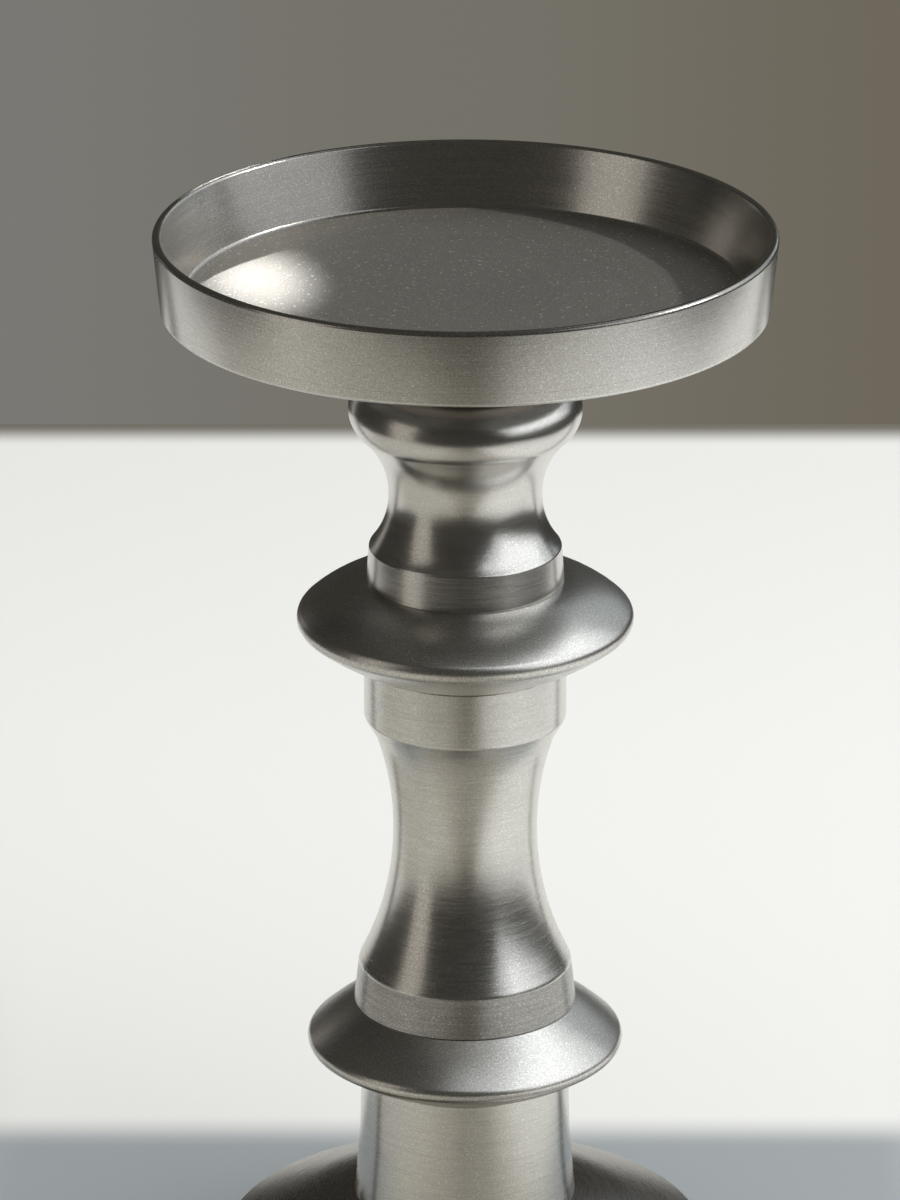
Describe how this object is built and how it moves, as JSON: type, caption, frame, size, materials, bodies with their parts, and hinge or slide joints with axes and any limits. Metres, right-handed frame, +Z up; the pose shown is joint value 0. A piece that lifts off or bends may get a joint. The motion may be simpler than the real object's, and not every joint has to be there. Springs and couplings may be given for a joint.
{
  "type": "pillar candle holder",
  "caption": "Free-standing turned steel pillar candlestick with a shallow flared dish, a beaded capital, saucer collars, a waisted spool and a round weighted foot.",
  "frame": {"origin": "centre of the felt pad's underside, on the surface that the candlestick stands on", "axes": "+Z up along the turning axis; the shape is round, so +X and +Y are free"},
  "size_m": [0.1048, 0.1048, 0.194],
  "materials": {
    "dish_steel": "satin, spun, with fine concentric lines on the floor",
    "neck_steel": "satin",
    "capital_steel": "semi-bright, turned and buffed",
    "collar_steel": "satin with a fine grain",
    "spool_steel": "satin, lines round the axis",
    "column_steel": "satin, lines round the axis",
    "base_steel": "satin with a fine grain",
    "cast_iron": "as cast",
    "cover_sheet": "matt black",
    "felt": "pressed wool felt",
    "zinc_steel": "zinc plated"
  },
  "bodies": {
    "root": {"candle_dish": "dish_steel", "dish_neck": "neck_steel", "capital": "capital_steel", "upper_collar": "collar_steel", "spool": "spool_steel", "lower_collar": "collar_steel", "lower_column": "column_steel", "base": "base_steel", "base_weight": "cast_iron", "base_cover": "cover_sheet", "felt_pad": "felt", "tie_rod": "zinc_steel", "plain_washer": "zinc_steel", "spring_washer": "zinc_steel", "hex_nut": "zinc_steel"}
  },
  "joints": []
}
